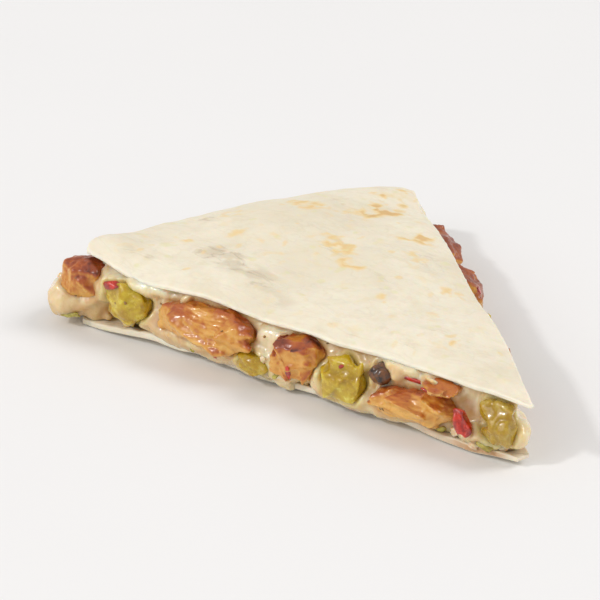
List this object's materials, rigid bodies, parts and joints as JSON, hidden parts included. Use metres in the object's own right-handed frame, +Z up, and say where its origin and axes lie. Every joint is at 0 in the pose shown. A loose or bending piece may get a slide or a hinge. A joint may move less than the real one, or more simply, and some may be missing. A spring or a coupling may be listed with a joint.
{
  "type": "quesadilla wedge",
  "caption": "Wedge of chicken and green chile quesadilla: melted cheese and chunky filling between two flour tortillas, open at both cut sides and at the rounded rim.",
  "frame": {"origin": "centre of the bounding box's bottom face", "axes": "+X runs along the front cut side towards the wedge's tip, the front cut side faces -Y, +Z is up"},
  "size_m": [0.134, 0.0942, 0.0215],
  "materials": {
    "tortilla": "floury and matt, with pale tan toasted patches",
    "cheese": "melted, soft and a little wet",
    "chicken": "grilled and moist, seared dark brown in places",
    "chile": "soft olive green flesh, wet",
    "red_pepper": "wet",
    "charred": "charred"
  },
  "bodies": {
    "root": {"charred_bit": "charred", "chicken_back_inner": "chicken", "chicken_back_middle": "chicken", "chicken_back_outer": "chicken", "chicken_front_corner": "chicken", "chicken_front_inner": "chicken", "chicken_front_long": "chicken", "chicken_front_middle": "chicken", "chicken_front_roof": "chicken", "chicken_rim_back": "chicken", "chicken_rim_front": "chicken", "chile_back_inner": "chile", "chile_back_outer": "chile", "chile_front_middle": "chile", "chile_front_outer": "chile", "chile_front_small": "chile", "chile_front_tip": "chile", "chile_rim": "chile", "chile_rim_back": "chile", "filling": "cheese", "red_pepper_front": "red_pepper", "tortilla_bottom": "tortilla", "tortilla_top": "tortilla"}
  },
  "joints": []
}
